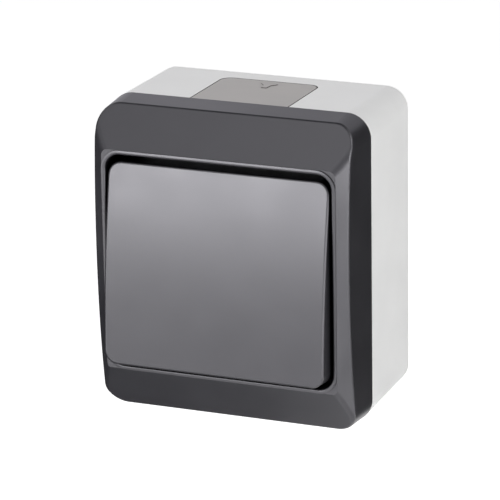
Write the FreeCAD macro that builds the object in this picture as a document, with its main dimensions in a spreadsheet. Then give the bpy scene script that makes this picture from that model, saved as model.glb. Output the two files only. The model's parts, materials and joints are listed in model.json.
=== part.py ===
import FreeCAD, Part
import math
import os
import re
import Sketcher

# Outdoor rocker switch for surface mounting, in millimetres.
# X runs to the right, Y into the wall and Z up, with the origin in the middle of the wall face.
# A "depth" is measured forward from the wall, so it is minus Y.

DRIVING = [
    # Box and frame outline
    ("body_width", 64.0),
    ("body_height", 74.0),
    ("body_corner", 5.7),
    ("base_depth", 26.5),
    ("base_draft", 1.0),
    ("base_wall", 2.0),
    ("base_floor", 2.0),
    ("base_back_round", 0.6),
    ("seat_gap", 0.15),
    ("cut_over", 1.0),
    # Front frame
    ("frame_height", 14.3),
    ("frame_side", 4.4),
    ("frame_top", 10.85),
    ("frame_bottom", 12.25),
    ("frame_draft", 3.6),
    ("frame_plate", 2.0),
    ("frame_skin", 2.4),
    ("lip_land", 1.0),
    ("lip_proud", 0.45),
    ("lip_crown", 0.17),
    ("opening_corner", 3.6),
    ("side_fall", 1.25),
    ("side_crease_peak", 5.0),
    ("side_crease_radius", 240.0),
    ("top_fall", 6.65),
    ("bottom_fall", 6.15),
    ("crease_round", 0.8),
    ("upper_hip_round", 3.0),
    ("lower_hip_round", 1.6),
    ("collar_wall", 1.6),
    ("tongue_wall", 1.1),
    ("tongue_depth", 3.0),
    ("window_gap", 0.9),
    # Rim gasket
    ("gasket_width", 1.0),
    ("gasket_height", 1.5),
    ("gasket_gap", 0.05),
    # Cable inserts
    ("entry_width", 24.4),
    ("entry_depth", 5.9),
    ("entry_corner", 2.7),
    ("entry_gap", 0.25),
    ("entry_flange", 1.2),
    ("entry_overlap", 1.7),
    ("knockout_radius", 7.5),
    ("knockout_groove", 0.8),
    ("knockout_skin", 0.3),
    # Rocker
    ("rocker_side_gap", 0.5),
    ("rocker_end_gap", 0.9),
    ("rocker_face", 7.1),
    ("rocker_face_radius", 260.0),
    ("rocker_corner", 3.2),
    ("rocker_edge_round", 0.6),
    ("rocker_wall", 1.6),
    ("rocker_skin", 2.0),
    ("rocker_skirt", 3.2),
    ("rocker_swing_angle", 13.4),
    ("rocker_axis_drop", 4.3),
    ("trunnion_radius", 2.0),
    ("trunnion_length", 2.1),
    ("trunnion_end_gap", 0.2),
    ("running_gap", 0.06),
    ("fork_gap", 0.12),
    ("fork_rib", 1.5),
    ("fork_margin", 0.4),
    ("fork_over", 1.4),
    # Toggle lever, plunger and spring
    ("lever_axis_drop", 4.0),
    ("lever_reach", 7.0),
    ("lever_head", 1.75),
    ("lever_width", 7.2),
    ("lever_arm", 2.6),
    ("lever_pin", 1.8),
    ("lever_pin_gap", 0.5),
    ("block_width", 10.6),
    ("block_half", 3.4),
    ("block_front", 1.8),
    ("barrel_radius", 3.2),
    ("barrel_reach", 7.6),
    ("barrel_end", 1.2),
    ("plunger_radius", 2.0),
    ("plunger_reach", 10.4),
    ("plunger_start", 3.8),
    ("plunger_nose", 0.4),
    ("plunger_gap", 0.1),
    ("spring_radius", 1.1),
    ("spring_wire", 0.18),
    ("spring_turns", 4.0),
    ("spring_gap", 0.12),
    ("spring_seat", 0.05),
    # See-saw contact
    ("contact_swing_angle", 10.0),
    ("contact_margin", 1.7),
    ("contact_gap", 0.1),
    ("moving_contact_radius", 1.5),
    ("moving_contact_flat", 0.7),
    ("moving_contact_rise", 0.5),
    ("fixed_contact_radius", 1.7),
    ("fixed_contact_height", 0.8),
    ("strip_front", 1.3),
    ("strip_thick", 0.8),
    ("strip_width", 4.8),
    ("strip_end_gap", 0.7),
    ("saddle_width", 2.8),
    ("saddle_back", 0.2),
    ("pin_radius", 0.6),
    ("pin_fit", 0.02),
    # Mechanism housing
    ("mechanism_width", 32.0),
    ("mechanism_height", 38.0),
    ("mechanism_wall", 1.5),
    ("mechanism_corner", 1.5),
    ("cover_drop", 3.0),
    ("cover_plate", 1.8),
    ("bearing_wall", 2.8),
    ("hub_gap", 0.4),
    ("hub_room", 1.4),
    ("hub_end_wall", 1.8),
    ("spigot_height", 1.2),
    ("spigot_wall", 1.0),
    ("spigot_gap", 0.2),
    ("seal_thick", 1.2),
    ("seal_gap", 0.5),
    ("post_height", 7.0),
    ("post_radius", 3.2),
    ("post_gap", 0.8),
    ("ear_thick", 2.0),
    ("ear_width", 9.0),
    ("ear_gap", 0.1),
    # Terminals
    ("terminal_plate", 1.0),
    ("terminal_height", 7.9),
    ("terminal_side", 6.3),
    ("terminal_width", 6.8),
    ("terminal_strip", 5.0),
    ("terminal_gap", 0.2),
    ("terminal_screw_length", 3.5),
    ("terminal_screw_head", 2.2),
    ("wire_drop", 2.8),
    ("wire_radius", 1.7),
    ("wire_gap", 0.4),
    ("bracket_thick", 0.8),
    ("bracket_width", 2.8),
    ("bracket_top", 1.0),
    ("bracket_gap", 0.3),
    # Screws and wall fixing
    ("screw_radius", 1.4),
    ("screw_head", 2.5),
    ("screw_head_height", 1.8),
    ("screw_bevel", 0.6),
    ("screw_point", 0.8),
    ("screw_slot", 0.7),
    ("screw_gap", 0.3),
    ("driver_gap", 0.6),
    ("pilot_room", 0.5),
    ("frame_screw_z", 16.0),
    ("frame_screw_length", 14.0),
    ("wall_slot_inset", 7.0),
    ("wall_slot_width", 4.5),
    ("wall_slot_length", 8.0),
]

DERIVED = [
    ("half_width", "body_width / 2"),
    ("half_height", "body_height / 2"),
    ("inner_width", "body_width - 2 * base_wall"),
    ("inner_height", "body_height - 2 * base_wall"),
    ("inner_corner", "body_corner - base_wall"),
    ("entry_half", "entry_width / 2"),
    ("wall_slot_spacing", "inner_width - 2 * wall_slot_inset"),
    ("lip_depth", "base_depth + frame_height"),
    ("land_depth", "lip_depth - lip_proud"),
    ("plate_depth", "base_depth + frame_plate"),
    ("opening_width", "body_width - 2 * frame_side"),
    ("opening_top", "half_height - frame_top"),
    ("opening_bottom", "frame_bottom - half_height"),
    ("opening_height", "opening_top - opening_bottom"),
    ("opening_centre", "(opening_top + opening_bottom) / 2"),
    ("land_half", "opening_width / 2 + lip_land"),
    ("land_top", "opening_top + lip_land"),
    ("land_bottom", "opening_bottom - lip_land"),
    ("side_crease_depth", "land_depth - side_fall"),
    ("top_edge_depth", "land_depth - top_fall"),
    ("bottom_edge_depth", "land_depth - bottom_fall"),
    ("top_edge_height", "half_height - (top_edge_depth - base_depth) * tan(frame_draft)"),
    ("bottom_edge_height", "half_height - (bottom_edge_depth - base_depth) * tan(frame_draft)"),
    ("crease_half", "half_width - (side_crease_depth - base_depth) * tan(frame_draft)"),
    ("tongue_half_width", "half_width - base_wall - 2 * seat_gap"),
    ("tongue_half_height", "half_height - base_wall - 2 * seat_gap"),
    ("tongue_corner", "inner_corner - 2 * seat_gap"),
    ("rocker_width", "opening_width - 2 * rocker_side_gap"),
    ("rocker_height", "-2 * opening_bottom - 2 * rocker_end_gap"),
    ("rocker_axis_depth", "lip_depth - rocker_axis_drop"),
    ("lever_axis_depth", "base_depth - lever_axis_drop"),
    ("rocker_reach", "rocker_axis_depth - lever_axis_depth - lever_reach"),
    ("rocker_tilt", "rocker_swing_angle / 2"),
    ("lever_tilt", "rocker_tilt * rocker_reach / lever_reach"),
    ("contact_tilt", "contact_swing_angle / 2"),
    ("bore_radius", "trunnion_radius + running_gap"),
    ("fork_inner", "lever_head + fork_gap"),
    ("fork_outer", "fork_inner + fork_rib"),
    ("fork_tip", "rocker_reach + fork_over"),
    ("fork_width", "lever_width + 2 * fork_margin"),
    ("window_width", "fork_width + 2 * window_gap"),
    ("window_height", "2 * (fork_outer + fork_tip * sin(rocker_tilt) + window_gap)"),
    ("hub_slot", "block_width / 2 + hub_gap"),
    ("hub_slot_height", "2 * (block_half + hub_room)"),
    ("hub_width", "2 * (hub_slot + bearing_wall)"),
    ("hub_height", "hub_slot_height + 2 * hub_end_wall"),
    ("seal_depth", "base_depth - seal_thick"),
    ("seal_slot", "lever_arm + 2 * (lever_axis_drop * sin(lever_tilt) + seal_gap)"),
    ("cover_depth", "lever_axis_depth - cover_drop"),
    ("ear_depth", "base_floor + post_height"),
    ("ear_hole_height", "mechanism_height / 2 + post_radius + ear_gap"),
    ("mechanism_screw_length", "post_height + ear_thick - base_floor / 2"),
    ("frame_screw_x", "mechanism_width / 2 + post_radius + post_gap"),
    ("strip_depth", "lever_axis_depth - plunger_reach - plunger_gap"),
    ("contact_axis_depth", "strip_depth - strip_front"),
    ("terminal_inner", "mechanism_height / 2 - mechanism_wall - terminal_gap - terminal_side"),
    ("terminal_screw_z", "terminal_inner + terminal_side / 2"),
    ("common_inner", "mechanism_width / 2 - mechanism_wall - terminal_gap - terminal_side"),
    ("common_screw_x", "common_inner + terminal_side / 2"),
    ("strip_length", "2 * (terminal_inner - strip_end_gap)"),
    ("contact_reach", "strip_length / 2 - contact_margin"),
    ("dome_back", "strip_thick - strip_front + 2 * moving_contact_rise"),
    ("contact_drop", "contact_reach * sin(contact_tilt) + dome_back * cos(contact_tilt)"),
    ("fixed_contact_depth", "contact_axis_depth - contact_drop - contact_gap"),
    ("fixed_plate_depth", "fixed_contact_depth - fixed_contact_height"),
    ("pedestal_depth", "fixed_plate_depth - terminal_plate"),
    ("terminal_top", "pedestal_depth + terminal_height"),
    ("wire_depth", "terminal_top - wire_drop"),
    ("bracket_inner", "strip_width / 2 + bracket_gap"),
    ("bracket_outer", "bracket_inner + bracket_thick"),
]

doc = FreeCAD.newDocument("rocker_switch")
sheet = doc.addObject("Spreadsheet::Sheet", "dims")
ALIASES = {name for name, _ in DRIVING} | {name for name, _ in DERIVED}


def fill_sheet():
    """Write the driving sizes as plain numbers and the others as formulas of them."""
    row = 1
    for name, value in DRIVING:
        sheet.set(f"A{row}", name)
        sheet.set(f"B{row}", str(value))
        sheet.setAlias(f"B{row}", name)
        row += 1
    for name, formula in DERIVED:
        sheet.set(f"A{row}", name)
        sheet.set(f"B{row}", "=" + formula)
        sheet.setAlias(f"B{row}", name)
        row += 1
    doc.recompute()


def ref(text):
    """An expression in which each name of the sheet is given its sheet prefix."""
    return re.sub(r"[a-z][a-z_]*", lambda word: "dims." * (word[0] in ALIASES) + word[0], text)


def value(text):
    """The number that an expression of sheet names stands for now."""
    return float(sheet.evalExpression(ref(text).replace("dims.", "")))


def new_body(label):
    """An empty body whose label is the name of its file."""
    body = doc.addObject("PartDesign::Body", label)
    body.Label = label
    return body


def sketch_on(body, plane, offset="0"):
    """A sketch on one of the body's own origin planes, moved along the plane's normal."""
    role = plane + "_Plane"
    support = next(item for item in body.Origin.OriginFeatures if item.Role == role)
    sketch = body.newObject("Sketcher::SketchObject", body.Label + "_sketch")
    sketch.AttachmentSupport = [(support, "")]
    sketch.MapMode = "FlatFace"
    sketch.setExpression("AttachmentOffset.Base.z", ref(offset))
    return sketch


def hold(sketch, kind, geometry, point, text):
    """Tie one coordinate of a point to an expression."""
    index = sketch.addConstraint(Sketcher.Constraint(kind, geometry, point, value(text)))
    sketch.setExpression(f"Constraints[{index}]", ref(text))


def arc_between(start, end, radius):
    """The short arc from start to end; a positive radius turns left on the way."""
    chord = end - start
    middle = (start + end) * 0.5
    left = FreeCAD.Vector(-chord.y, chord.x, 0).normalize()
    rise = math.sqrt(max(radius * radius - chord.Length * chord.Length / 4, 0))
    side = 1 if radius > 0 else -1
    centre = middle + left * (rise * side)
    top = centre - left * (abs(radius) * side)
    return Part.Arc(start, top, end)


def trace(sketch, points):
    """A closed loop through (across, up) pairs; a third item is the radius of the arc that follows."""
    first = sketch.GeometryCount
    spots = [FreeCAD.Vector(value(point[0]), value(point[1]), 0) for point in points]
    count = len(points)
    for i, point in enumerate(points):
        start, end = spots[i], spots[(i + 1) % count]
        if len(point) == 3:
            sketch.addGeometry(arc_between(start, end, value(point[2])))
        else:
            sketch.addGeometry(Part.LineSegment(start, end))
    ends = []
    for i, point in enumerate(points):
        turned = len(point) == 3 and value(point[2]) < 0
        ends.append((2, 1) if turned else (1, 2))
    for i, point in enumerate(points):
        after = (i + 1) % count
        joint = Sketcher.Constraint("Coincident", first + i, ends[i][1], first + after, ends[after][0])
        sketch.addConstraint(joint)
        hold(sketch, "DistanceX", first + i, ends[i][0], point[0])
        hold(sketch, "DistanceY", first + i, ends[i][0], point[1])
        if len(point) == 3:
            radius = f"abs({point[2]})"
            index = sketch.addConstraint(Sketcher.Constraint("Radius", first + i, value(radius)))
            sketch.setExpression(f"Constraints[{index}]", ref(radius))
    return sketch


def rectangle(sketch, left, right, low, high):
    """A plain rectangle between four coordinates."""
    return trace(sketch, [(left, low), (right, low), (right, high), (left, high)])


def centred(sketch, width, height, middle="0"):
    """A plain rectangle about a point on the upright axis."""
    half = f"({width}) / 2"
    return rectangle(sketch, f"-{half}", half, f"{middle} - ({height}) / 2", f"{middle} + ({height}) / 2")


def rounded(sketch, width, height, corner, middle="0"):
    """A rectangle with round corners about a point on the upright axis."""
    right = f"({width}) / 2"
    left = f"-({width}) / 2"
    low = f"{middle} - ({height}) / 2"
    high = f"{middle} + ({height}) / 2"
    corner = f"({corner})"
    return trace(sketch, [
        (f"{left} + {corner}", low),
        (f"{right} - {corner}", low, corner),
        (right, f"{low} + {corner}"),
        (right, f"{high} - {corner}", corner),
        (f"{right} - {corner}", high),
        (f"{left} + {corner}", high, corner),
        (left, f"{high} - {corner}"),
        (left, f"{low} + {corner}", corner),
    ])


def circle(sketch, across, up, radius):
    """A full circle about a point given by two expressions."""
    centre = FreeCAD.Vector(value(across), value(up), 0)
    index = sketch.addGeometry(Part.Circle(centre, FreeCAD.Vector(0, 0, 1), value(radius)))
    hold(sketch, "DistanceX", index, 3, across)
    hold(sketch, "DistanceY", index, 3, up)
    size = sketch.addConstraint(Sketcher.Constraint("Radius", index, value(radius)))
    sketch.setExpression(f"Constraints[{size}]", ref(radius))
    return sketch


def long_hole(sketch, middle, length, width):
    """A level slot with round ends about a point on the level axis."""
    first = sketch.GeometryCount
    near = f"{middle} - ({length} - {width}) / 2"
    far = f"{middle} + ({length} - {width}) / 2"
    radius = value(f"{width} / 2")
    low_near = FreeCAD.Vector(value(near), -radius, 0)
    low_far = FreeCAD.Vector(value(far), -radius, 0)
    high_far = FreeCAD.Vector(value(far), radius, 0)
    high_near = FreeCAD.Vector(value(near), radius, 0)
    sketch.addGeometry(Part.LineSegment(low_near, low_far))
    sketch.addGeometry(arc_between(low_far, high_far, radius))
    sketch.addGeometry(Part.LineSegment(high_far, high_near))
    sketch.addGeometry(arc_between(high_near, low_near, radius))
    for i in range(4):
        after = first + (i + 1) % 4
        sketch.addConstraint(Sketcher.Constraint("Coincident", first + i, 2, after, 1))
        hold(sketch, "DistanceX", first + i, 1, near if i in (0, 3) else far)
        hold(sketch, "DistanceY", first + i, 1, f"{width} / 2" if i > 1 else f"-{width} / 2")
    hold(sketch, "DistanceX", first + 1, 3, far)
    hold(sketch, "DistanceX", first + 3, 3, near)
    return sketch


def feature(body, kind, sketch, length, reverse=False, both=False, taper=None):
    """A pad or pocket of a sketch; a length of None goes through everything."""
    item = body.newObject("PartDesign::" + kind, body.Label + "_" + kind.lower())
    item.Profile = sketch
    if length is None:
        item.Type = "ThroughAll"
    else:
        item.setExpression("Length", ref(length))
    item.SideType = "Symmetric" if both else "One side"
    item.Reversed = reverse
    if taper:
        item.setExpression("TaperAngle", ref(taper))
    sketch.Visibility = False
    doc.recompute()
    body.Tip = item
    return item


def pad(body, sketch, length, **options):
    return feature(body, "Pad", sketch, length, **options)


def pocket(body, sketch, length, **options):
    return feature(body, "Pocket", sketch, length, **options)


def revolve(body, sketch, upright=True):
    """A full turn of a sketch about its own upright or level axis."""
    item = body.newObject("PartDesign::Revolution", body.Label + "_turn")
    item.Profile = sketch
    item.ReferenceAxis = (sketch, ["V_Axis" if upright else "H_Axis"])
    item.Angle = 360
    doc.recompute()
    body.Tip = item
    return item


def round_edges(body, test, radius):
    """Round the edges of the body that pass a test."""
    base = body.Tip
    names = [f"Edge{i + 1}" for i, edge in enumerate(base.Shape.Edges) if test(edge)]
    item = body.newObject("PartDesign::Fillet", body.Label + "_fillet")
    item.Base = (base, names)
    item.setExpression("Radius", ref(radius))
    doc.recompute()
    body.Tip = item
    return item


def place(item, across, depth, up, tilt=None):
    """Put an item's own origin at a place in the switch, tilted about the X direction."""
    item.setExpression("Placement.Base.x", ref(across))
    item.setExpression("Placement.Base.y", ref(f"-({depth})"))
    item.setExpression("Placement.Base.z", ref(up))
    if tilt:
        item.Placement.Rotation = FreeCAD.Rotation(FreeCAD.Vector(1, 0, 0), 1)
        item.setExpression("Placement.Rotation.Angle", ref(tilt))


def along(edge, axis):
    """Whether an edge is straight and runs along one of the three directions."""
    if not isinstance(edge.Curve, Part.Line):
        return False
    return abs(getattr(edge.Curve.Direction, axis)) > 0.999


def base_box():
    """Open wall box with cable notches, screw posts and slots for the wall screws."""
    body = new_body("base_box")
    shell = rounded(sketch_on(body, "XZ", "base_depth"), "body_width", "body_height", "body_corner")
    pad(body, shell, "base_depth", reverse=True, taper="-base_draft")
    round_edges(body, lambda edge: edge.BoundBox.YMin > -0.01, "base_back_round")
    room = rounded(sketch_on(body, "XZ", "base_depth"), "inner_width", "inner_height", "inner_corner")
    pocket(body, room, "base_depth - base_floor")
    rebate = rounded(sketch_on(body, "XZ", "base_depth"), "inner_width + 2 * gasket_width",
                     "inner_height + 2 * gasket_width", "inner_corner + gasket_width")
    pocket(body, rebate, "gasket_height")
    notch = trace(sketch_on(body, "XY"), [
        ("-entry_half", "-base_depth - cut_over"),
        ("entry_half", "-base_depth - cut_over"),
        ("entry_half", "-entry_depth - entry_corner", "entry_corner"),
        ("entry_half - entry_corner", "-entry_depth"),
        ("entry_corner - entry_half", "-entry_depth", "entry_corner"),
        ("-entry_half", "-entry_depth - entry_corner"),
    ])
    pocket(body, notch, "body_height + 2 * cut_over", both=True)
    tall = sketch_on(body, "XZ", "base_floor")
    circle(tall, "-frame_screw_x", "frame_screw_z", "post_radius")
    circle(tall, "frame_screw_x", "-frame_screw_z", "post_radius")
    pad(body, tall, "base_depth - base_floor")
    short = sketch_on(body, "XZ", "base_floor")
    circle(short, "0", "ear_hole_height", "post_radius")
    circle(short, "0", "-ear_hole_height", "post_radius")
    pad(body, short, "ear_depth - base_floor")
    deep = sketch_on(body, "XZ", "base_depth")
    circle(deep, "-frame_screw_x", "frame_screw_z", "screw_radius + running_gap")
    circle(deep, "frame_screw_x", "-frame_screw_z", "screw_radius + running_gap")
    pocket(body, deep, "frame_screw_length")
    shallow = sketch_on(body, "XZ", "ear_depth")
    circle(shallow, "0", "ear_hole_height", "screw_radius + running_gap")
    circle(shallow, "0", "-ear_hole_height", "screw_radius + running_gap")
    pocket(body, shallow, "mechanism_screw_length - ear_thick + pilot_room")
    slots = sketch_on(body, "XZ", "base_floor + cut_over")
    for side in ("-", ""):
        long_hole(slots, f"{side}wall_slot_spacing / 2", "wall_slot_length", "wall_slot_width")
    pocket(body, slots, None)
    return body


def cable_insert(label, side):
    """Plate that fills a cable notch, held by a wider flange inside the wall."""
    body = new_body(label)
    near = "entry_depth + entry_gap"
    inside = "half_height - base_wall"
    back = f"half_height - (base_depth - {near}) * tan(base_draft)"
    step = f"{inside} + gasket_width"
    plate = trace(sketch_on(body, "YZ"), [
        (f"-({near})", f"{side}({inside})"),
        (f"-({near})", f"{side}({back})"),
        ("-base_depth", f"{side}half_height"),
        ("-base_depth", f"{side}({step})"),
        ("gasket_height - base_depth", f"{side}({step})"),
        ("gasket_height - base_depth", f"{side}({inside})"),
    ])
    pad(body, plate, "entry_width - 2 * entry_gap", both=True)
    rear = -value(near)
    round_edges(body, lambda edge: along(edge, "z") and edge.BoundBox.YMin > rear - 0.01, "entry_corner")
    level = f"-({inside})" if side else f"{inside} - entry_flange"
    flange = sketch_on(body, "XY", level)
    wide = "entry_half + entry_overlap"
    front = "tongue_depth - base_depth + 2 * seat_gap"
    rectangle(flange, f"-({wide})", wide, front, "entry_overlap - entry_depth")
    pad(body, flange, "entry_flange")
    groove = sketch_on(body, "XY", level)
    middle = "-(entry_depth + base_depth - tongue_depth) / 2"
    circle(groove, "0", middle, "knockout_radius")
    circle(groove, "0", middle, "knockout_radius - knockout_groove")
    depth = "entry_flange - knockout_skin"
    if side:
        groove.setExpression("AttachmentOffset.Base.z", ref(f"{level} + entry_flange"))
        pocket(body, groove, depth)
    else:
        pocket(body, groove, depth, reverse=True)
    return body


def rim_gasket():
    """Rubber ring in the rebate of the box rim."""
    body = new_body("rim_gasket")
    ring = sketch_on(body, "XZ", "base_depth - gasket_height")
    for reach in ("(gasket_width - gasket_gap)", "gasket_gap"):
        rounded(ring, f"inner_width + 2 * {reach}", f"inner_height + 2 * {reach}", f"inner_corner + {reach}")
    pad(body, ring, "gasket_height")
    return body


def facing(shape, edge):
    """The least and most forward part of the normals of the faces that meet at an edge."""
    middle = edge.valueAt((edge.FirstParameter + edge.LastParameter) / 2)
    result = []
    for face in shape.ancestorsOfType(edge, Part.Face):
        across, along_it = face.Surface.parameter(middle)
        result.append(-face.normalAt(across, along_it).y)
    return min(result), max(result)


def side_cut(body, side):
    """Cut one side flank, between the straight lip and a crease that bows forward."""
    drop = "(land_depth - side_crease_depth + ({0} - side_crease_peak)^2 / (2 * side_crease_radius))"
    reach = 2.4
    sections = []
    for level in (-0.6, -0.35, -0.1, 0.15, 0.4, 0.6):
        height = f"body_height * {level}"
        outer = f"land_half + {reach} * (crease_half - land_half)"
        fall = f"{reach} * " + drop.format(f"({height})")
        sketch = sketch_on(body, "XY", height)
        trace(sketch, [
            (f"{side}land_half", "-land_depth"),
            (f"{side}({outer})", f"-land_depth + {fall}"),
            (f"{side}({outer})", "-land_depth - cut_over"),
            (f"{side}land_half", "-land_depth - cut_over"),
        ])
        sections.append(sketch)
    loft = body.newObject("PartDesign::SubtractiveLoft", body.Label + "_flank")
    loft.Profile = sections[0]
    loft.Sections = sections[1:]
    doc.recompute()
    body.Tip = loft


def end_cut(body, start, edge_height, edge_depth, side):
    """Cut the top or bottom flank, a plane from the lip down to the front edge."""
    slope = f"(land_depth - {edge_depth}) / ({edge_height} - ({start}))"
    far = f"{edge_height} + 4 * cut_over"
    wedge = trace(sketch_on(body, "YZ"), [
        ("-land_depth", f"{side}({start})"),
        (f"-({edge_depth} - 4 * cut_over * {slope})", f"{side}({far})"),
        ("-land_depth - cut_over", f"{side}({far})"),
        ("-land_depth - cut_over", f"{side}({start})"),
    ])
    pocket(body, wedge, "body_width + 2 * cut_over", both=True)


def hollow(body, near, edge_height, edge_depth, start, side):
    """Hollow behind a flank, between the collar of the opening and the outer wall."""
    slope = f"(land_depth - {edge_depth}) / ({edge_height} - ({start}))"
    outer = "tongue_half_height - tongue_wall"
    room = trace(sketch_on(body, "YZ"), [
        ("cut_over - base_depth", f"{side}({near})"),
        (f"-(land_depth - frame_skin - ({near} - ({start})) * {slope})", f"{side}({near})"),
        (f"-(land_depth - frame_skin - ({outer} - ({start})) * {slope})", f"{side}({outer})"),
        ("cut_over - base_depth", f"{side}({outer})"),
    ])
    pocket(body, room, "2 * (tongue_half_width - tongue_wall - tongue_corner)", both=True)


def round_hips(body, upper, radius):
    """Round the two edges where an end flank meets the side flanks."""
    shape = body.Tip.Shape

    def hip(edge):
        low, high = facing(shape, edge)
        return 0.4 < low and high < 0.95 and (edge.BoundBox.Center.z > 0) == upper

    round_edges(body, hip, radius)


def front_frame():
    """Sculpted cover frame with a tray for the rocker and a tongue that enters the box."""
    body = new_body("front_frame")
    block = rounded(sketch_on(body, "XZ", "base_depth"), "body_width", "body_height", "body_corner")
    pad(body, block, "land_depth - base_depth", taper="-frame_draft")
    side_cut(body, "")
    side_cut(body, "-")
    end_cut(body, "land_top", "top_edge_height", "top_edge_depth", "")
    end_cut(body, "-land_bottom", "bottom_edge_height", "bottom_edge_depth", "-")
    round_hips(body, True, "upper_hip_round")
    round_hips(body, False, "lower_hip_round")
    shape = body.Tip.Shape

    def crest(edge):
        low, high = facing(shape, edge)
        return low < 0.3 < high < 0.95

    round_edges(body, crest, "crease_round")
    land = sketch_on(body, "XZ", "land_depth - frame_plate")
    land_height = "opening_height + 2 * lip_land"
    rounded(land, "2 * land_half", land_height, "opening_corner + lip_land", "opening_centre")
    pad(body, land, "frame_plate + lip_proud - lip_crown")
    crown = sketch_on(body, "XZ", "lip_depth - lip_crown")
    rounded(crown, "2 * land_half", land_height, "opening_corner + lip_land", "opening_centre")
    pad(body, crown, "lip_crown", taper="-atan(lip_land / lip_crown)")
    front = -value("lip_depth") + 0.01
    opening = sketch_on(body, "XZ", "lip_depth")
    rounded(opening, "opening_width", "opening_height", "opening_corner", "opening_centre")
    pocket(body, opening, "lip_depth - plate_depth")
    inner = value("opening_width / 2") + 0.01
    low = value("opening_bottom") - 0.01
    high = value("opening_top") + 0.01

    def around_opening(edge):
        box = edge.BoundBox
        within = box.XMax < inner and box.XMin > -inner and box.ZMin > low and box.ZMax < high
        return within and box.YMax < front

    round_edges(body, around_opening, "lip_land * 0.5")
    tongue = sketch_on(body, "XZ", "base_depth")
    rounded(tongue, "2 * tongue_half_width", "2 * tongue_half_height", "tongue_corner")
    rounded(tongue, "2 * (tongue_half_width - tongue_wall)", "2 * (tongue_half_height - tongue_wall)",
            "tongue_corner - tongue_wall")
    pad(body, tongue, "tongue_depth", reverse=True)
    above = "opening_top + collar_wall"
    below = "collar_wall - opening_bottom"
    hollow(body, above, "top_edge_height", "top_edge_depth", "land_top", "")
    hollow(body, below, "bottom_edge_height", "bottom_edge_depth", "-land_bottom", "-")
    window = sketch_on(body, "XZ", "plate_depth")
    centred(window, "window_width", "window_height")
    circle(window, "-frame_screw_x", "frame_screw_z", "screw_radius + screw_gap")
    circle(window, "frame_screw_x", "-frame_screw_z", "screw_radius + screw_gap")
    pocket(body, window, "frame_plate + cut_over")
    bearing = circle(sketch_on(body, "YZ"), "-rocker_axis_depth", "0", "bore_radius")
    pocket(body, bearing, "rocker_width + 2 * (trunnion_length + trunnion_end_gap)", both=True)
    return body


def screw(label, across, depth, up, length, head_radius="screw_head"):
    """Pan-head screw with a straight slot; its origin lies under the head."""
    body = new_body(label)
    outline = trace(sketch_on(body, "XY"), [
        ("0", f"{length}"),
        ("screw_radius / 2", f"{length}"),
        ("screw_radius", f"{length} - screw_point"),
        ("screw_radius", "0"),
        (head_radius, "0"),
        (head_radius, "screw_bevel - screw_head_height"),
        (f"{head_radius} - screw_bevel", "-screw_head_height"),
        ("0", "-screw_head_height"),
    ])
    revolve(body, outline)
    slot = sketch_on(body, "XZ", "screw_head_height")
    centred(slot, f"{head_radius} * 2 + cut_over", "screw_slot")
    pocket(body, slot, "screw_head_height / 2")
    place(body, across, depth, up)
    return body


def terminal_screw(label, across, up):
    """Short screw in the front of a terminal block."""
    return screw(label, across, "terminal_top", up, "terminal_screw_length", "terminal_screw_head")


def mechanism_body():
    """Insulating tray that carries the terminals and is screwed to the short posts."""
    body = new_body("mechanism_body")
    block = centred(sketch_on(body, "XZ", "base_floor"), "mechanism_width", "mechanism_height")
    pad(body, block, "cover_depth - base_floor")
    round_edges(body, lambda edge: along(edge, "y"), "mechanism_corner")
    room = sketch_on(body, "XZ", "cover_depth")
    centred(room, "mechanism_width - 2 * mechanism_wall", "mechanism_height - 2 * mechanism_wall")
    pocket(body, room, "cover_depth - base_floor - mechanism_wall")
    seat = sketch_on(body, "XZ", "base_floor + mechanism_wall")
    half = "terminal_strip / 2"
    near = "contact_reach - fixed_contact_radius"
    inner = "mechanism_height / 2 - mechanism_wall"
    rectangle(seat, f"-{half}", half, *ordered("", near, inner))
    rectangle(seat, f"-{half}", half, *ordered("-", near, inner))
    rectangle(seat, "-bracket_outer", "mechanism_width / 2 - mechanism_wall", f"-{half}", half)
    pad(body, seat, "pedestal_depth - base_floor - mechanism_wall")
    ears = sketch_on(body, "XZ", "ear_depth")
    edge = "mechanism_height / 2 - mechanism_wall / 2"
    end = "ear_hole_height + post_radius"
    rectangle(ears, "-ear_width / 2", "ear_width / 2", *ordered("", edge, end))
    rectangle(ears, "-ear_width / 2", "ear_width / 2", *ordered("-", edge, end))
    pad(body, ears, "ear_thick")
    holes = sketch_on(body, "XZ", "ear_depth + ear_thick")
    circle(holes, "0", "ear_hole_height", "screw_radius + screw_gap")
    circle(holes, "0", "-ear_hole_height", "screw_radius + screw_gap")
    pocket(body, holes, "ear_thick + cut_over")
    wires = circle(sketch_on(body, "XY"), "0", "-wire_depth", "wire_radius + wire_gap")
    pocket(body, wires, "mechanism_height + 2 * cut_over", both=True)
    side = circle(sketch_on(body, "YZ", "common_screw_x"), "-wire_depth", "0", "wire_radius + wire_gap")
    pocket(body, side, "mechanism_width / 2", reverse=True)
    return body


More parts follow.
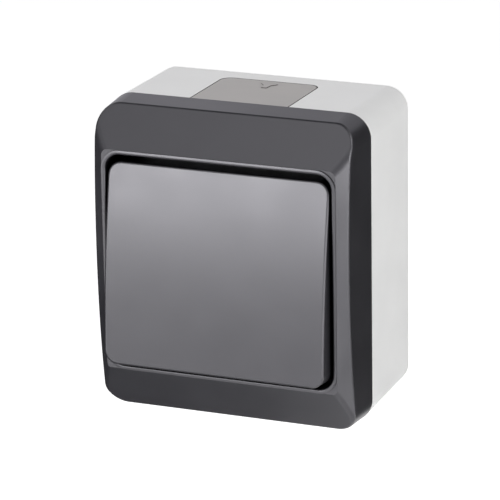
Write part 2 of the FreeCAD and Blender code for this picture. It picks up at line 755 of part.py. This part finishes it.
def mechanism_cover():
    """Cover with a bearing hub for the toggle lever and holes over the terminal screws."""
    body = new_body("mechanism_cover")
    plate = centred(sketch_on(body, "XZ", "cover_depth"), "mechanism_width", "mechanism_height")
    pad(body, plate, "cover_plate")
    round_edges(body, lambda edge: along(edge, "y"), "mechanism_corner")
    hub = centred(sketch_on(body, "XZ", "cover_depth"), "hub_width", "hub_height")
    pad(body, hub, "seal_depth - cover_depth")
    spigot = sketch_on(body, "XZ", "cover_depth")
    inset = "2 * (mechanism_wall + spigot_gap)"
    centred(spigot, f"mechanism_width - {inset}", f"mechanism_height - {inset}")
    centred(spigot, f"mechanism_width - {inset} - 2 * spigot_wall",
            f"mechanism_height - {inset} - 2 * spigot_wall")
    pad(body, spigot, "spigot_height", reverse=True)
    slot = centred(sketch_on(body, "XZ", "seal_depth"), "2 * hub_slot", "hub_slot_height")
    pocket(body, slot, None)
    access = sketch_on(body, "XZ", "cover_depth + cover_plate")
    circle(access, "0", "terminal_screw_z", "terminal_screw_head + driver_gap")
    circle(access, "0", "-terminal_screw_z", "terminal_screw_head + driver_gap")
    circle(access, "common_screw_x", "0", "terminal_screw_head + driver_gap")
    pocket(body, access, "cover_plate + cut_over")
    bearing = circle(sketch_on(body, "YZ"), "-lever_axis_depth", "0", "lever_pin + running_gap")
    pocket(body, bearing, "hub_width + 2 * cut_over", both=True)
    return body


def lever_seal():
    """Rubber ring between the hub and the frame, with a slot for the lever."""
    body = new_body("lever_seal")
    ring = sketch_on(body, "XZ", "seal_depth")
    centred(ring, "hub_width", "hub_height")
    centred(ring, "lever_width + 2 * seal_gap", "seal_slot")
    pad(body, ring, "seal_thick")
    return body


def ordered(side, near, far):
    """Two distances from the middle as rising coordinates on the upper or lower half."""
    return (f"-({far})", f"-({near})") if side else (near, far)


def clamp_holes(body, across, up, wire):
    """Screw hole from the front of a terminal block, and the wire hole that it meets."""
    thread = circle(sketch_on(body, "XZ", "terminal_top"), across, up, "screw_radius + running_gap")
    pocket(body, thread, "terminal_top - wire_depth")
    pocket(body, wire, "terminal_side + 2 * cut_over", reverse=True)


def end_terminal(label, side):
    """Brass terminal that carries a fixed contact and clamps one wire."""
    body = new_body(label)
    strip = sketch_on(body, "XZ", "pedestal_depth")
    near = "contact_reach - fixed_contact_radius"
    rectangle(strip, "-terminal_strip / 2", "terminal_strip / 2",
              *ordered(side, near, "terminal_inner + terminal_plate"))
    pad(body, strip, "terminal_plate")
    block = sketch_on(body, "XZ", "pedestal_depth")
    rectangle(block, "-terminal_width / 2", "terminal_width / 2",
              *ordered(side, "terminal_inner", "terminal_inner + terminal_side"))
    pad(body, block, "terminal_height")
    low = ordered(side, "terminal_inner", "terminal_inner + terminal_side")[0]
    wire = circle(sketch_on(body, "XY", f"{low} - cut_over"), "0", "-wire_depth", "wire_radius")
    clamp_holes(body, "0", f"{side}terminal_screw_z", wire)
    return body


def common_terminal():
    """Brass terminal whose two ears hold the pin of the see-saw contact."""
    body = new_body("common_terminal")
    strip = sketch_on(body, "XZ", "pedestal_depth")
    half = "terminal_strip / 2"
    rectangle(strip, "-bracket_outer", "common_inner + terminal_plate", f"-{half}", half)
    pad(body, strip, "terminal_plate")
    block = sketch_on(body, "XZ", "pedestal_depth")
    half = "terminal_width / 2"
    rectangle(block, "common_inner", "common_inner + terminal_side", f"-{half}", half)
    pad(body, block, "terminal_height")
    ears = sketch_on(body, "XZ", "pedestal_depth")
    half = "bracket_width / 2"
    for side in ("", "-"):
        rectangle(ears, *ordered(side, "bracket_inner", "bracket_outer"), f"-{half}", half)
    pad(body, ears, "contact_axis_depth + bracket_top - pedestal_depth")
    bore = circle(sketch_on(body, "YZ"), "-contact_axis_depth", "0", "pin_radius + pin_fit")
    pocket(body, bore, "2 * bracket_outer", both=True)
    wire = circle(sketch_on(body, "YZ", "common_inner - cut_over"), "-wire_depth", "0", "wire_radius")
    clamp_holes(body, "common_screw_x", "0", wire)
    return body


def contact_pin():
    """Pin on which the see-saw contact turns."""
    body = new_body("contact_pin")
    rod = circle(sketch_on(body, "YZ"), "-contact_axis_depth", "0", "pin_radius")
    pad(body, rod, "2 * bracket_outer", both=True)
    return body


def fixed_contact(label, side):
    """Silver contact on an end terminal."""
    body = new_body(label)
    disc = sketch_on(body, "XZ", "fixed_plate_depth")
    circle(disc, "0", f"{side}contact_reach", "fixed_contact_radius")
    pad(body, disc, "fixed_contact_height")
    return body


def contact_bridge():
    """See-saw strip with a saddle that sits on the pin; its origin is the pin axis."""
    body = new_body("contact_bridge")
    strip = sketch_on(body, "YZ")
    rectangle(strip, "-strip_front", "strip_thick - strip_front", "-strip_length / 2", "strip_length / 2")
    pad(body, strip, "strip_width", both=True)
    saddle = sketch_on(body, "YZ")
    rectangle(saddle, "-strip_front", "saddle_back", "-saddle_width / 2", "saddle_width / 2")
    pad(body, saddle, "strip_width", both=True)
    groove = circle(sketch_on(body, "YZ"), "0", "0", "pin_radius + running_gap")
    pocket(body, groove, "strip_width + 2 * cut_over", both=True)
    place(body, "0", "contact_axis_depth", "0", "-contact_tilt")
    return body


def moving_contact(label, side):
    """Domed silver contact on one end of the see-saw strip; its origin is the pin axis."""
    body = new_body(label)
    back = "strip_thick - strip_front"
    outline = trace(sketch_on(body, "XY", f"{side}contact_reach"), [
        ("0", back),
        ("moving_contact_radius", back),
        ("moving_contact_radius", f"{back} + moving_contact_rise"),
        ("moving_contact_flat", "dome_back"),
        ("0", "dome_back"),
    ])
    revolve(body, outline)
    place(body, "0", "contact_axis_depth", "0", "-contact_tilt")
    return body


def rocker_key():
    """Convex rocker with side trunnions and a fork for the lever; its origin is the pivot."""
    body = new_body("rocker_key")
    half = "rocker_height / 2"
    sag = "(rocker_face_radius - sqrt(rocker_face_radius^2 - (rocker_height / 2)^2))"
    side = trace(sketch_on(body, "YZ"), [
        ("rocker_skirt", f"-{half}"),
        ("rocker_skirt", half),
        (f"-(rocker_face - {sag})", half, "rocker_face_radius"),
        (f"-(rocker_face - {sag})", f"-{half}"),
    ])
    pad(body, side, "rocker_width", both=True)
    round_edges(body, lambda edge: along(edge, "y"), "rocker_corner")
    front = -value("rocker_face") / 2
    round_edges(body, lambda edge: edge.BoundBox.YMax < front, "rocker_edge_round")
    pins = circle(sketch_on(body, "YZ"), "0", "0", "trunnion_radius")
    pad(body, pins, "rocker_width + 2 * trunnion_length", both=True)
    inside = f"({half} - rocker_wall)"
    inner_radius = "(rocker_face_radius - rocker_skin)"
    inner_sag = f"({inner_radius} - sqrt({inner_radius}^2 - {inside}^2))"
    ceiling = f"-(rocker_face - rocker_skin - {inner_sag})"
    room = trace(sketch_on(body, "YZ"), [
        ("rocker_skirt + cut_over", f"-{inside}"),
        ("rocker_skirt + cut_over", inside),
        (ceiling, inside, inner_radius),
        (ceiling, f"-{inside}"),
    ])
    pocket(body, room, "rocker_width - 2 * rocker_wall", both=True)
    fork = sketch_on(body, "YZ")
    root = "rocker_skin / 2 - rocker_face"
    for sign in ("", "-"):
        rectangle(fork, root, "fork_tip", *ordered(sign, "fork_inner", "fork_outer"))
    pad(body, fork, "fork_width", both=True)
    place(body, "0", "rocker_axis_depth", "0", "-rocker_tilt")
    return body


def toggle_lever():
    """Lever that carries the plunger barrel behind its pivot; its origin is the pivot."""
    body = new_body("toggle_lever")
    block = rectangle(sketch_on(body, "YZ"), "-block_front", "block_half", "-block_half", "block_half")
    pad(body, block, "block_width", both=True)
    pins = circle(sketch_on(body, "YZ"), "0", "0", "lever_pin")
    pad(body, pins, "hub_width - 2 * lever_pin_gap", both=True)
    arm = rectangle(sketch_on(body, "YZ"), "-lever_reach", "0", "-lever_arm / 2", "lever_arm / 2")
    pad(body, arm, "lever_width", both=True)
    head = circle(sketch_on(body, "YZ"), "-lever_reach", "0", "lever_head")
    pad(body, head, "lever_width", both=True)
    barrel = circle(sketch_on(body, "XZ", "-barrel_reach"), "0", "0", "barrel_radius")
    pad(body, barrel, "barrel_reach")
    bore = circle(sketch_on(body, "XZ", "-barrel_reach"), "0", "0", "plunger_radius + running_gap")
    pocket(body, bore, "barrel_reach - barrel_end", reverse=True)
    place(body, "0", "lever_axis_depth", "0", "lever_tilt")
    return body


def plunger():
    """Round-nosed plunger with a recess for its spring; its origin is the lever pivot."""
    body = new_body("plunger")
    shoulder = "plunger_reach - plunger_radius"
    recess = "spring_radius + spring_wire + spring_gap"
    outline = trace(sketch_on(body, "XY"), [
        ("0", f"{shoulder} - plunger_nose"),
        (recess, f"{shoulder} - plunger_nose"),
        (recess, "plunger_start"),
        ("plunger_radius", "plunger_start"),
        ("plunger_radius", shoulder, "plunger_radius"),
        ("0", "plunger_reach"),
    ])
    revolve(body, outline)
    place(body, "0", "lever_axis_depth", "0", "lever_tilt")
    return body


def plunger_spring():
    """Coil spring between the lever and the plunger, wound along its own Z axis."""
    near = "(barrel_end + spring_seat + spring_wire)"
    far = "(plunger_reach - plunger_radius - plunger_nose - spring_seat - spring_wire)"
    helix = doc.addObject("Part::Helix", "spring_path")
    helix.setExpression("Radius", ref("spring_radius"))
    helix.setExpression("Height", ref(f"{far} - {near}"))
    helix.setExpression("Pitch", ref(f"({far} - {near}) / spring_turns"))
    helix.SegmentLength = 0.25
    ring = doc.addObject("Part::Circle", "spring_section")
    ring.setExpression("Radius", ref("spring_wire"))
    ring.Placement.Rotation = FreeCAD.Rotation(FreeCAD.Vector(1, 0, 0), 90)
    ring.setExpression("Placement.Base.x", ref("spring_radius"))
    coil = doc.addObject("Part::Sweep", "plunger_spring")
    coil.Sections = [ring]
    coil.Spine = helix
    coil.Solid = True
    coil.Frenet = True
    coil.Label = "plunger_spring"
    depth = f"lever_axis_depth - {near} * cos(lever_tilt)"
    place(coil, "0", depth, f"{near} * sin(lever_tilt)", "lever_tilt - 90")
    return coil


def build():
    """Make every sub-part of the switch."""
    fill_sheet()
    plate = "plate_depth"
    ear = "ear_depth + ear_thick"
    return [
        base_box(),
        cable_insert("top_cable_insert", ""),
        cable_insert("bottom_cable_insert", "-"),
        rim_gasket(),
        front_frame(),
        screw("left_frame_screw", "-frame_screw_x", plate, "frame_screw_z", "frame_screw_length"),
        screw("right_frame_screw", "frame_screw_x", plate, "-frame_screw_z", "frame_screw_length"),
        mechanism_body(),
        mechanism_cover(),
        screw("upper_mechanism_screw", "0", ear, "ear_hole_height", "mechanism_screw_length"),
        screw("lower_mechanism_screw", "0", ear, "-ear_hole_height", "mechanism_screw_length"),
        lever_seal(),
        common_terminal(),
        end_terminal("upper_terminal", ""),
        end_terminal("lower_terminal", "-"),
        terminal_screw("common_terminal_screw", "common_screw_x", "0"),
        terminal_screw("upper_terminal_screw", "0", "terminal_screw_z"),
        terminal_screw("lower_terminal_screw", "0", "-terminal_screw_z"),
        fixed_contact("upper_fixed_contact", ""),
        fixed_contact("lower_fixed_contact", "-"),
        contact_pin(),
        contact_bridge(),
        moving_contact("upper_moving_contact", ""),
        moving_contact("lower_moving_contact", "-"),
        rocker_key(),
        toggle_lever(),
        plunger(),
        plunger_spring(),
    ]


def write_parts(items):
    """Check every object of the document, then write one file for each sub-part."""
    doc.recompute()
    for item in doc.Objects:
        if "Invalid" in item.State or "Error" in item.State:
            raise RuntimeError(f"{item.Label} did not build: {item.State}")
    os.makedirs("parts", exist_ok=True)
    for item in items:
        if item.Shape.isNull() or not item.Shape.isValid():
            raise RuntimeError(f"{item.Label} has no valid shape")
        item.Shape.exportStep(f"parts/{item.Label}.step")
        print(item.Label, len(item.Shape.Solids), round(item.Shape.Volume, 2))


write_parts(build())
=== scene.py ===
import json
import math

import bmesh
import bpy
from mathutils import Matrix, Vector


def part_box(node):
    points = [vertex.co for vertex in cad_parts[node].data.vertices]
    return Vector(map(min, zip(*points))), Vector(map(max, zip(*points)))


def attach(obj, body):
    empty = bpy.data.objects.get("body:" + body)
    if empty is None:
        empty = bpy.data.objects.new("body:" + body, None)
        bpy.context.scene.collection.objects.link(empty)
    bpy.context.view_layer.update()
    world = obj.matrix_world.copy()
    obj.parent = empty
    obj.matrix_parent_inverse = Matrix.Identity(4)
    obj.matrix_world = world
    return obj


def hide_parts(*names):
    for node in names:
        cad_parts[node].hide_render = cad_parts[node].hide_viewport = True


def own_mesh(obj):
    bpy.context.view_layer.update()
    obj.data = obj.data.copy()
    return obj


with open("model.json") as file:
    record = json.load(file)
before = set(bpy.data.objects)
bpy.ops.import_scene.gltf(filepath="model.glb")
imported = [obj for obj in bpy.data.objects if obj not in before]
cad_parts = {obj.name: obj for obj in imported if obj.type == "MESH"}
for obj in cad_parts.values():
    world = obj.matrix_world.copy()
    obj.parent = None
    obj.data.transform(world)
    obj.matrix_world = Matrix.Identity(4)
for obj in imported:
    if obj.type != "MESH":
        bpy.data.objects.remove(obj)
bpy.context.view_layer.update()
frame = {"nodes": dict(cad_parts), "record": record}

WHITE = (1, 1, 1)
CORNERS = ((-1, -1), (1, -1), (1, 1), (-1, 1))

# Camera, fitted to the outline and the creases of a picture of FRAME_PX by FRAME_PX
AZIMUTH = math.radians(22.26)
ELEVATION = math.radians(18.48)
ROLL = math.radians(-0.92)
FOCAL_PX = 3437.3
FRAME_PX = 500
SENSOR_MM = 36
DISTANCE = 0.7957
AIM = Vector((0, -0.025, 0))
OFFSET = (-0.00319, 0.00438)
SHIFT = (-0.0160, 0.0473)
CLIP = (0.01, 50)

# Painted shade in gaps, which darkens colour and gloss: reach, and the open shares of the view that count
# as closed and as free
FINE_GAP_SHADE = (0.0012, 0.6, 0.98)
WIDE_GAP_SHADE = (0.004, 0.4, 0.78)
GAP_SAMPLES = 8

# Noise values that count as the two ends of its range
NOISE_ENDS = (0.3, 0.7)

# Moulded plastic
MOTTLE_SCALE = 90
MOTTLE_DETAIL = 3
MOTTLE_SHARE = 0.55
GRAIN_DETAIL = 2
GRAIN_ROUGHNESS = 0.6
GRAIN_HEIGHT = 0.00004
# Painted shade: colour scale and gloss level deep in a gap, and the gloss level on an open face
GAP_SHADE_COLOUR = 0.1
GAP_SHADE_GLOSS = 0.03
OPEN_GLOSS = 0.5
PLASTIC_SPREAD = 0.02

# Metal
LINE_SCALE = 2500
LINE_DETAIL = 3
LINE_ROUGHNESS = 0.6
LINE_STRENGTH = 0.15
LINE_HEIGHT = 0.00002
STAIN_SCALE = 300
STAIN_DETAIL = 2
METAL_SPREAD = 0.08

# Name: dark and light colour, roughness, scale and strength of the grain, painted shade in gaps, tint of
# the gloss
PLASTICS = {
    "light_grey_plastic": ((0.745, 0.745, 0.741), (0.795, 0.795, 0.791), 0.5, 5000, 0.12, FINE_GAP_SHADE, WHITE),
    "mid_grey_plastic": ((0.349, 0.333, 0.321), (0.402, 0.384, 0.371), 0.48, 5000, 0.12, FINE_GAP_SHADE, WHITE),
    "graphite_plastic": ((0.0105, 0.0103, 0.0125), (0.0155, 0.0152, 0.018), 0.34, 3000, 0.2, WIDE_GAP_SHADE,
                         (0.96, 0.945, 1.0)),
    "black_rubber": ((0.012, 0.012, 0.012), (0.022, 0.022, 0.022), 0.75, 3000, 0.25, FINE_GAP_SHADE, WHITE),
    "white_plastic": ((0.70, 0.69, 0.65), (0.77, 0.76, 0.72), 0.4, 5000, 0.1, FINE_GAP_SHADE, WHITE),
    "red_plastic": ((0.48, 0.06, 0.045), (0.58, 0.085, 0.06), 0.4, 5000, 0.1, FINE_GAP_SHADE, WHITE),
    "black_plastic": ((0.02, 0.02, 0.02), (0.032, 0.032, 0.032), 0.35, 5000, 0.1, FINE_GAP_SHADE, WHITE),
}

# Name: dark and light colour, roughness, how the lines are stretched
METALS = {
    "brass": ((0.66, 0.48, 0.20), (0.76, 0.58, 0.28), 0.32, (1, 0.1, 1)),
    "silver": ((0.76, 0.75, 0.72), (0.86, 0.85, 0.82), 0.25, (1, 1, 1)),
    "zinc_steel": ((0.52, 0.53, 0.56), (0.66, 0.67, 0.69), 0.38, (1, 0.2, 1)),
    "spring_steel": ((0.44, 0.44, 0.45), (0.56, 0.56, 0.57), 0.3, (1, 1, 1)),
}

# Arrow on the top insert: places across and distances from the wall, wide end first
ARROW = ((-0.0017, 0.0087), (0.0025, 0.0087), (0.00125, 0.0103),
         (0.00105, 0.0125), (-0.00025, 0.0125), (-0.00045, 0.0103))
ARROW_ROOT = -0.0001
ARROW_RISE = 0.00014
ARROW_ROUND = 0.00006
ARROW_SEGMENTS = 2
INSERT_DRAFT = math.radians(1.0)

# Studio
WORLD_LIGHT = 0.23
FLOOR_LEVEL = -0.30
FLOOR_REACH = 3.0
FLOOR_SHADE = 0.85
FLOOR_GLOW = 0.75
CARD_ROUGHNESS = 0.9
LEVEL_NORMAL = 0.9
COOL = (0.94, 0.925, 1.0)

# Name, centre, direction of its normal, half width, half height, shade, glow, tint of the glow
CARDS = (
    ("right_card", (0.107, 0.116, 0.01), (0.49, 0.87, 0.0), 0.11, 0.15, 0.01, 0.0, WHITE),
    ("low_card", (-0.281, -0.06, -0.22), (0, 0, 1), 0.238, 0.16, 0.2, 0.0, WHITE),
    ("top_card", (-0.118, 0.04, 0.33), (0, 0, 1), 0.17, 0.18, 0.01, 0.0, WHITE),
    ("crest_card", (0.06, 0.1, 0.105), (-0.339, 0.84, 0.423), 0.10, 0.06, 0.0, 0.76, COOL),
    ("sky_card", (-0.126, 0.277, 0.148), (-0.359, 0.878, 0.317), 0.25, 0.12, 0.0, 0.95, COOL),
    ("left_card", (-0.17, 0.0, -0.06), (-0.97, 0.0, -0.2), 0.17, 0.17, 0.01, 0.0, WHITE),
    ("edge_card", (0.461, -0.211, 0.052), (0.922, -0.373, 0.105), 0.145, 0.17, 0.5, 8.0, WHITE),
    ("side_card", (0.294, -0.055, -0.170), (0.88, -0.06, -0.47), 0.06, 0.05, 0.5, 3.2, WHITE),
    ("table_card", (0.038, -0.291, -0.269), (0.1, -0.7, -0.707), 0.19, 0.067, 0.5, 4.0, WHITE),
)

# Name, azimuth and elevation in degrees, distance, width, height, power in watts
LAMPS = (
    ("key", -22, 10, 0.85, 0.30, 0.30, 5.7),
    ("key_low", -22, -15, 0.85, 0.30, 0.30, 0.35),
    ("left_low", -42, -9, 0.85, 0.25, 0.30, 1.8),
    ("middle_low", 3, -16, 0.85, 0.20, 0.30, 0.7),
    ("front_low", 27, -6, 0.85, 0.30, 0.30, 2.0),
    ("right_low", 52, -10, 0.85, 0.30, 0.30, 1.35),
    ("side_low", 118, -35, 0.45, 0.08, 0.08, 0.11),
    ("right_high", 80, 50, 0.85, 0.30, 0.30, 2.1),
    ("front_high", -10, 55, 0.85, 0.50, 0.30, 1.1),
    ("back_left", -155, 25, 0.85, 0.40, 0.40, 0.05),
    ("back", 160, 5, 1.0, 0.50, 0.50, 1.5),
    ("left", -100, 50, 1.0, 0.50, 0.50, 1.25),
)


def add_object(name, data):
    """An object in the scene that holds the data."""
    made = bpy.data.objects.new(name, data)
    bpy.context.collection.objects.link(made)
    return made


def direction(azimuth, elevation):
    """Unit vector away from the object; azimuth 0 is straight in front, positive to the right."""
    return Vector((math.sin(azimuth) * math.cos(elevation),
                   -math.cos(azimuth) * math.cos(elevation),
                   math.sin(elevation)))


def make_camera():
    """The camera of the photograph."""
    back = direction(AZIMUTH, ELEVATION)
    level = Vector((math.cos(AZIMUTH), math.sin(AZIMUTH), 0))
    upright = back.cross(level)
    right = level * math.cos(ROLL) + upright * math.sin(ROLL)
    up = upright * math.cos(ROLL) - level * math.sin(ROLL)
    data = bpy.data.cameras.new("camera")
    data.sensor_width = SENSOR_MM
    data.lens = SENSOR_MM * FOCAL_PX / FRAME_PX
    data.shift_x, data.shift_y = SHIFT
    data.clip_start, data.clip_end = CLIP
    camera = add_object("camera", data)
    place = Matrix((right, up, back)).transposed().to_4x4()
    place.translation = AIM - right * OFFSET[0] - up * OFFSET[1] + back * DISTANCE
    camera.matrix_world = place
    bpy.context.scene.camera = camera


def empty_tree(owner):
    """The node tree of a material or a world, without its first nodes."""
    owner.use_nodes = True
    owner.node_tree.nodes.clear()
    return owner.node_tree


def node(tree, kind, **values):
    """A node whose inputs are set by name."""
    made = tree.nodes.new(kind)
    for key, value in values.items():
        made.inputs[key.replace("_", " ")].default_value = value
    return made


def ramp(tree, source, low, high, start=0.0, end=1.0):
    """Map the range from start to end to the range from low to high."""
    made = node(tree, "ShaderNodeMapRange", From_Min=start, From_Max=end, To_Min=low, To_Max=high)
    tree.links.new(source, made.inputs["Value"])
    return made.outputs["Result"]


def new_material(name):
    """A material with one principled shader, its node tree and that shader."""
    material = bpy.data.materials.new(name)
    tree = empty_tree(material)
    shader = tree.nodes.new("ShaderNodeBsdfPrincipled")
    output = tree.nodes.new("ShaderNodeOutputMaterial")
    tree.links.new(shader.outputs["BSDF"], output.inputs["Surface"])
    return material, tree, shader


def noise(tree, scale, detail, rough=0.5, stretch=(1, 1, 1)):
    """Noise in object space; a scale of 1000 has features of about a millimetre."""
    coordinates = tree.nodes.new("ShaderNodeTexCoord")
    mapping = node(tree, "ShaderNodeMapping", Scale=stretch)
    tree.links.new(coordinates.outputs["Object"], mapping.inputs["Vector"])
    made = node(tree, "ShaderNodeTexNoise", Scale=scale, Detail=detail, Roughness=rough)
    tree.links.new(mapping.outputs["Vector"], made.inputs["Vector"])
    return made.outputs["Fac"]


def mixed(tree, factor, first, second):
    """A colour between two, by a factor."""
    made = tree.nodes.new("ShaderNodeMix")
    made.data_type = "RGBA"
    made.inputs["A"].default_value = (*first, 1)
    made.inputs["B"].default_value = (*second, 1)
    tree.links.new(factor, made.inputs["Factor"])
    return made.outputs["Result"]


def gap_shade_mask(tree, reach, closed, free):
    """0 deep in a narrow gap, 1 on an open face; the mask of the painted shade in gaps."""
    made = node(tree, "ShaderNodeAmbientOcclusion", Distance=reach)
    made.samples = GAP_SAMPLES
    return ramp(tree, made.outputs["AO"], 0.0, 1.0, closed, free)


def raised(tree, shader, height, strength, distance):
    """Relief on a surface, by its normal alone."""
    relief = node(tree, "ShaderNodeBump", Strength=strength, Distance=distance)
    tree.links.new(height, relief.inputs["Height"])
    tree.links.new(relief.outputs["Normal"], shader.inputs["Normal"])


def uneven(tree, shader, source, roughness, spread):
    """Roughness that goes up and down with a noise."""
    value = ramp(tree, source, roughness - spread, roughness + spread, *NOISE_ENDS)
    tree.links.new(value, shader.inputs["Roughness"])


def moulded(name, dark, light, roughness, grain, bump, gap, gloss):
    """Moulded plastic: faint mottling, spark-eroded grain, uneven gloss, and painted shade that darkens
    colour and gloss in gaps.
    """
    material, tree, shader = new_material(name)
    mottle = noise(tree, MOTTLE_SCALE, MOTTLE_DETAIL)
    fine = noise(tree, grain, GRAIN_DETAIL, GRAIN_ROUGHNESS)
    tint = tree.nodes.new("ShaderNodeMath")
    tint.operation = "MULTIPLY_ADD"
    tint.inputs[1].default_value = 1 - MOTTLE_SHARE
    tree.links.new(fine, tint.inputs[0])
    tree.links.new(ramp(tree, mottle, 0.0, MOTTLE_SHARE, *NOISE_ENDS), tint.inputs[2])
    # Painted shade: colour and gloss fall off where ambient occlusion finds a narrow gap or crease
    unshaded = gap_shade_mask(tree, *gap)
    colour = tree.nodes.new("ShaderNodeVectorMath")
    colour.operation = "SCALE"
    tree.links.new(mixed(tree, tint.outputs[0], dark, light), colour.inputs[0])
    tree.links.new(ramp(tree, unshaded, GAP_SHADE_COLOUR, 1.0), colour.inputs["Scale"])
    tree.links.new(colour.outputs[0], shader.inputs["Base Color"])
    tree.links.new(ramp(tree, unshaded, GAP_SHADE_GLOSS, OPEN_GLOSS), shader.inputs["Specular IOR Level"])
    shader.inputs["Specular Tint"].default_value = (*gloss, 1)
    uneven(tree, shader, mottle, roughness, PLASTIC_SPREAD)
    raised(tree, shader, fine, bump, GRAIN_HEIGHT)
    return material


def metal(name, dark, light, roughness, stretch):
    """Drawn or stamped metal with fine lines along one direction."""
    material, tree, shader = new_material(name)
    lines = noise(tree, LINE_SCALE, LINE_DETAIL, LINE_ROUGHNESS, stretch)
    stain = noise(tree, STAIN_SCALE, STAIN_DETAIL)
    tree.links.new(mixed(tree, stain, dark, light), shader.inputs["Base Color"])
    shader.inputs["Metallic"].default_value = 1.0
    uneven(tree, shader, lines, roughness, METAL_SPREAD)
    raised(tree, shader, lines, LINE_STRENGTH, LINE_HEIGHT)
    return material


def dress_nodes(materials):
    """Give each CAD node the material of its slot."""
    for part in frame["record"]["subparts"]:
        mesh = frame["nodes"][part["node"]].data
        mesh.materials.clear()
        mesh.materials.append(materials[part["material_slot"]])


def direction_mark(material):
    """Small raised arrow on the top insert that points to the front."""
    low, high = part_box("top_cable_insert")
    made = bmesh.new()
    rings = []
    for lift in (ARROW_ROOT, ARROW_RISE):
        ring = []
        for across, depth in ARROW:
            top = high.z - (-low.y - depth) * math.tan(INSERT_DRAFT)
            ring.append(made.verts.new((across, -depth, top + lift)))
        rings.append(ring)
    root, rim = rings
    made.faces.new(reversed(root))
    made.faces.new(rim)
    for i in range(len(ARROW)):
        after = (i + 1) % len(ARROW)
        made.faces.new((root[i], root[after], rim[after], rim[i]))
    bmesh.ops.recalc_face_normals(made, faces=made.faces)
    mesh = bpy.data.meshes.new("direction_mark")
    made.to_mesh(mesh)
    made.free()
    mesh.materials.append(material)
    piece = add_object("direction_mark", mesh)
    rounding = piece.modifiers.new("rounding", "BEVEL")
    rounding.width = ARROW_ROUND
    rounding.segments = ARROW_SEGMENTS
    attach(piece, "housing")


def spring_coil():
    """The plunger's spring, copied into a piece of its own on the lever in place of its CAD node."""
    solid = frame["nodes"]["plunger_spring"]
    piece = add_object("spring_coil", solid.data.copy())
    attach(piece, "lever")
    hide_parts("plunger_spring")
    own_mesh(piece)


def seen_rays(tree):
    """1 for rays that show the background: camera, mirror and see-through rays."""
    path = tree.nodes.new("ShaderNodeLightPath")
    total = path.outputs["Is Camera Ray"]
    for name in ("Is Glossy Ray", "Is Transmission Ray"):
        both = tree.nodes.new("ShaderNodeMath")
        both.operation = "MAXIMUM"
        tree.links.new(total, both.inputs[0])
        tree.links.new(path.outputs[name], both.inputs[1])
        total = both.outputs[0]
    return total


def make_world():
    """Background that shows white and lights the part less than it shows."""
    world = bpy.data.worlds.new("studio")
    bpy.context.scene.world = world
    tree = empty_tree(world)
    output = tree.nodes.new("ShaderNodeOutputWorld")
    background = node(tree, "ShaderNodeBackground", Color=(*WHITE, 1))
    tree.links.new(ramp(tree, seen_rays(tree), WORLD_LIGHT, 1.0), background.inputs["Strength"])
    tree.links.new(background.outputs[0], output.inputs["Surface"])


def stage_plane(name, corners, material):
    """Flat piece of the stage, which is no part of the object."""
    mesh = bpy.data.meshes.new(name)
    mesh.from_pydata(corners, [], [(0, 1, 2, 3)])
    mesh.materials.append(material)
    plane = add_object(name, mesh)
    return plane


def make_floor():
    """Pale floor that shows white and keeps the shadow."""
    material = bpy.data.materials.new("floor")
    tree = empty_tree(material)
    output = tree.nodes.new("ShaderNodeOutputMaterial")
    matt = node(tree, "ShaderNodeBsdfDiffuse", Color=(FLOOR_SHADE, FLOOR_SHADE, FLOOR_SHADE, 1))
    glow = node(tree, "ShaderNodeEmission", Color=(*WHITE, 1))
    tree.links.new(ramp(tree, seen_rays(tree), 0.0, FLOOR_GLOW), glow.inputs["Strength"])
    total = tree.nodes.new("ShaderNodeAddShader")
    tree.links.new(matt.outputs[0], total.inputs[0])
    tree.links.new(glow.outputs[0], total.inputs[1])
    tree.links.new(total.outputs[0], output.inputs["Surface"])
    corners = [(i * FLOOR_REACH, j * FLOOR_REACH, FLOOR_LEVEL) for i, j in CORNERS]
    stage_plane("floor", corners, material)


def card(name, centre, towards, half_width, half_height, shade, glow, tint):
    """Card that only reflections see, as a studio uses to darken or to light an edge."""
    material, tree, shader = new_material(name)
    shader.inputs["Base Color"].default_value = (shade, shade, shade, 1)
    shader.inputs["Roughness"].default_value = CARD_ROUGHNESS
    shader.inputs["Emission Color"].default_value = (*tint, 1)
    shader.inputs["Emission Strength"].default_value = glow
    normal = Vector(towards).normalized()
    upright = Vector((0, 1, 0)) if abs(normal.z) > LEVEL_NORMAL else Vector((0, 0, 1))
    across = normal.cross(upright).normalized()
    along = normal.cross(across).normalized()
    middle = Vector(centre)
    corners = [middle + across * (i * half_width) + along * (j * half_height) for i, j in CORNERS]
    plane = stage_plane(name, corners, material)
    plane.visible_camera = False
    plane.visible_diffuse = False
    plane.visible_transmission = False
    plane.visible_shadow = False


def softbox(name, azimuth, elevation, distance, width, height, power):
    """Area lamp that faces the object."""
    data = bpy.data.lights.new(name, "AREA")
    data.shape = "RECTANGLE"
    data.size = width
    data.size_y = height
    data.energy = power
    lamp = add_object(name, data)
    towards = direction(math.radians(azimuth), math.radians(elevation))
    lamp.location = AIM + towards * distance
    lamp.rotation_euler = towards.to_track_quat("Z", "Y").to_euler()


materials = {name: moulded(name, *look) for name, look in PLASTICS.items()}
materials.update({name: metal(name, *look) for name, look in METALS.items()})

make_camera()
dress_nodes(materials)
direction_mark(materials["mid_grey_plastic"])
spring_coil()
make_world()
make_floor()
for row in CARDS:
    card(*row)
for row in LAMPS:
    softbox(*row)

bpy.context.scene.view_settings.view_transform = "Standard"
